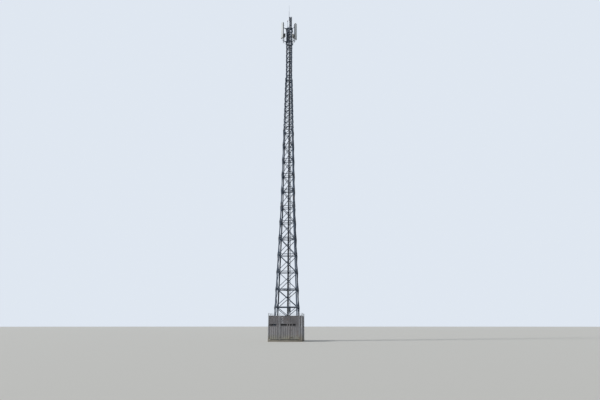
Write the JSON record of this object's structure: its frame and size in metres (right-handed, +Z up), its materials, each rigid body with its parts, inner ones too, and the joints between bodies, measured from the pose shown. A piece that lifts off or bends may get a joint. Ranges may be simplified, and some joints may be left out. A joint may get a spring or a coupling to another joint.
{
  "type": "lattice cell tower with a small fenced yard",
  "caption": "Square steel lattice tower with slightly bent legs, panel antennas on a parallel head, an inner ladder and feeder cables, on a slab inside a sheet-and-slat fence with a gate.",
  "frame": {"origin": "centre of the concrete slab's underside, at ground level", "axes": "+Z up along the tower, -Y towards the side with the gate, +X to the right seen from the gate"},
  "size_m": [3.13, 3.189, 37.787],
  "materials": {
    "bright_wire": "galvanised wire",
    "cable_jacket": "matt black jacket",
    "concrete": "rough cast concrete",
    "fence_steel": "weathered galvanised sheet",
    "galvanised_steel": "dull hot-dip galvanised",
    "lamp_red": "clear red plastic",
    "radio_housing": "satin paint",
    "radome": "satin moulded plastic"
  },
  "bodies": {
    "tower": {"foundation_slab": "concrete", "leg_feet": "galvanised_steel", "leg_front_left": "galvanised_steel", "leg_front_right": "galvanised_steel", "leg_back_right": "galvanised_steel", "leg_back_left": "galvanised_steel", "lower_bracing_front": "galvanised_steel", "lower_bracing_right": "galvanised_steel", "lower_bracing_back": "galvanised_steel", "lower_bracing_left": "galvanised_steel", "upper_bracing_front": "galvanised_steel", "upper_bracing_right": "galvanised_steel", "upper_bracing_back": "galvanised_steel", "upper_bracing_left": "galvanised_steel", "plan_bracing": "galvanised_steel", "transition_frame": "galvanised_steel", "head_legs": "galvanised_steel", "head_bracing_front": "galvanised_steel", "head_bracing_right": "galvanised_steel", "head_bracing_back": "galvanised_steel", "head_bracing_left": "galvanised_steel", "ladder": "galvanised_steel", "ladder_crossbars": "galvanised_steel", "feeder_cables": "cable_jacket", "cable_entry": "galvanised_steel", "junction_box": "radio_housing", "mount_rings": "galvanised_steel", "standoff_left": "galvanised_steel", "standoff_right": "galvanised_steel", "standoff_back": "galvanised_steel", "antenna_left": "radome", "antenna_right": "radome", "antenna_back": "radome", "radio_units": "radio_housing", "jumper_cables": "cable_jacket", "lightning_rod": "galvanised_steel", "warning_lamp": "lamp_red", "fence_posts": "fence_steel", "fence_front": "fence_steel", "fence_right": "fence_steel", "fence_back": "fence_steel", "fence_left": "fence_steel", "fence_wires": "bright_wire"},
    "left_leaf": {"gate_leaf_left": "fence_steel"},
    "right_leaf": {"gate_leaf_right": "fence_steel"}
  },
  "joints": [
    {"name": "left_leaf_hinge", "type": "hinge", "parent": "tower", "child": "left_leaf", "pos_m": [-0.447, -1.57, 1.15], "axis": [0, 0, -1], "range_deg": [0, 105]},
    {"name": "right_leaf_hinge", "type": "hinge", "parent": "tower", "child": "right_leaf", "pos_m": [1.272, -1.57, 1.15], "axis": [0, 0, 1], "range_deg": [0, 105]}
  ]
}
